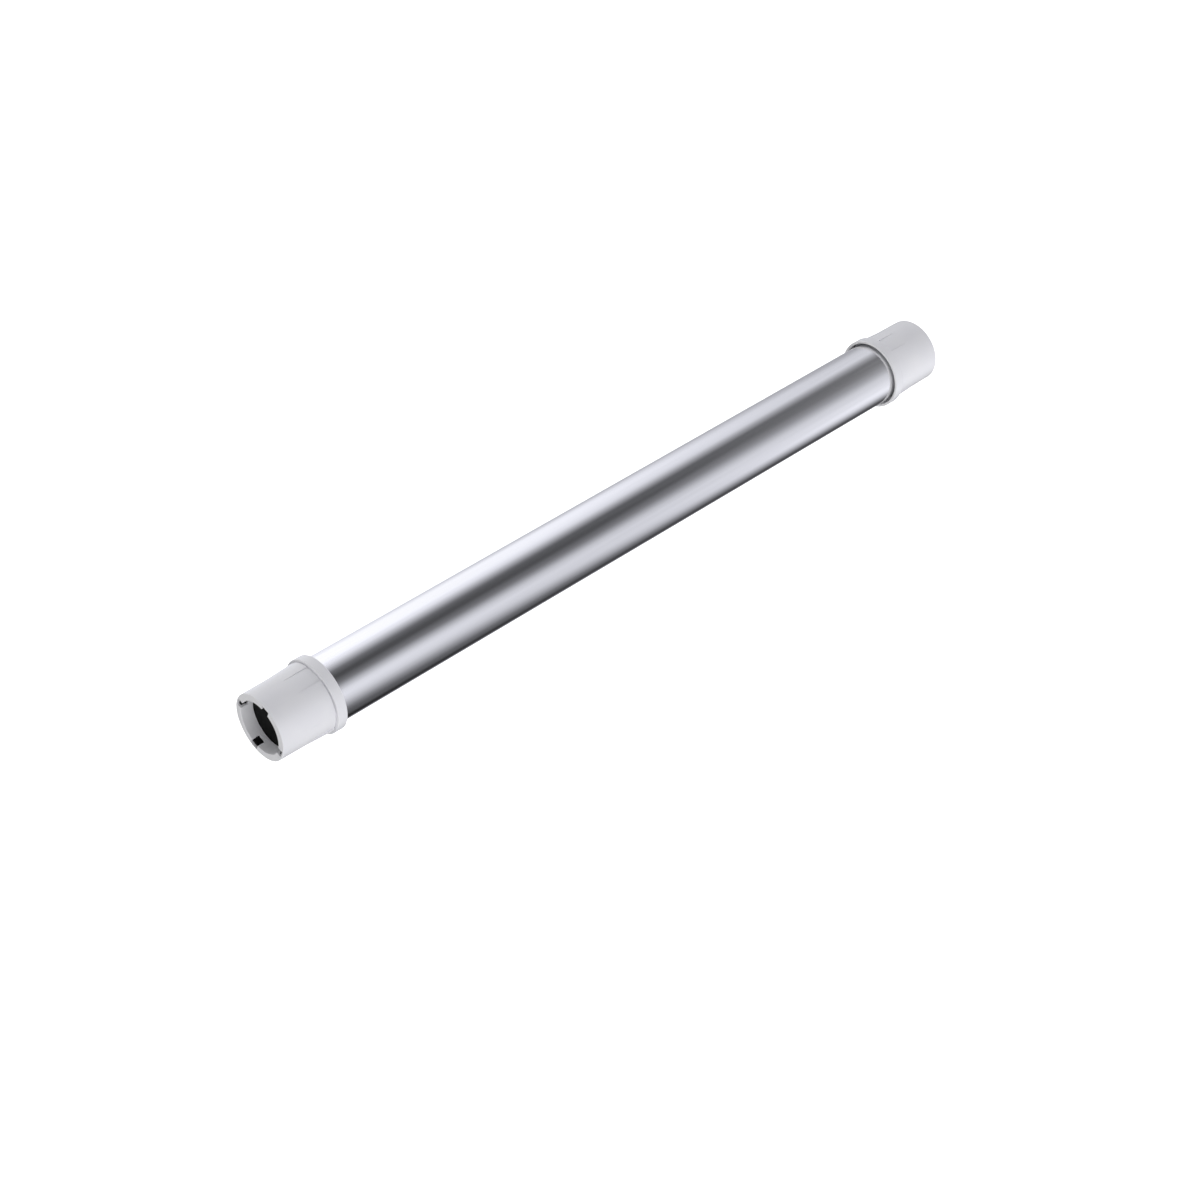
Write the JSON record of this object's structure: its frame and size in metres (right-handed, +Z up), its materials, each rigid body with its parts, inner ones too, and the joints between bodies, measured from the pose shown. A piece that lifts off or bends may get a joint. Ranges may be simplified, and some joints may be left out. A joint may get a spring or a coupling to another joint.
{
  "type": "roller blind tube unit",
  "caption": "Bright metal roller blind tube that turns on a fixed inner shaft, with a white tapered adapter, a collar and a windowed plug socket at each end.",
  "frame": {"origin": "middle of the whole unit, on the tube's axis", "axes": "+X along the tube towards the right adapter, +Z up"},
  "size_m": [0.51, 0.0436, 0.0436],
  "materials": {
    "white_plastic": "satin moulded white",
    "black_plastic": "matt moulded black",
    "grey_plastic": "satin moulded grey",
    "natural_plastic": "smooth uncoloured acetal",
    "aluminium": "bright drawn tube",
    "bright_steel": "bright drawn steel",
    "spring_steel": "oiled spring steel"
  },
  "bodies": {
    "fixed_unit": {"left_adapter_shell": "white_plastic", "right_adapter_shell": "white_plastic", "left_socket_core": "black_plastic", "right_socket_core": "black_plastic", "left_core_pin": "bright_steel", "right_core_pin": "bright_steel", "left_thrust_washer": "natural_plastic", "right_wave_washer": "spring_steel", "fixed_shaft": "bright_steel", "torsion_spring": "spring_steel", "spring_guide_sleeve": "natural_plastic", "spring_shaft_anchor": "grey_plastic", "spring_anchor_pin": "bright_steel", "carrier_retaining_ring": "spring_steel"},
    "tube": {"roller_tube": "aluminium", "left_tube_plug": "grey_plastic", "right_tube_plug": "grey_plastic", "left_bearing_bush": "natural_plastic", "right_bearing_bush": "natural_plastic", "spring_tube_carrier": "grey_plastic"}
  },
  "joints": [
    {"name": "tube_spin", "type": "hinge", "parent": "fixed_unit", "child": "tube", "pos_m": [0, 0, 0], "axis": [1, 0, 0], "range_deg": [0, 2520], "stiffness_Nm_per_rad": 0.0038, "deforming": ["torsion_spring"]}
  ]
}
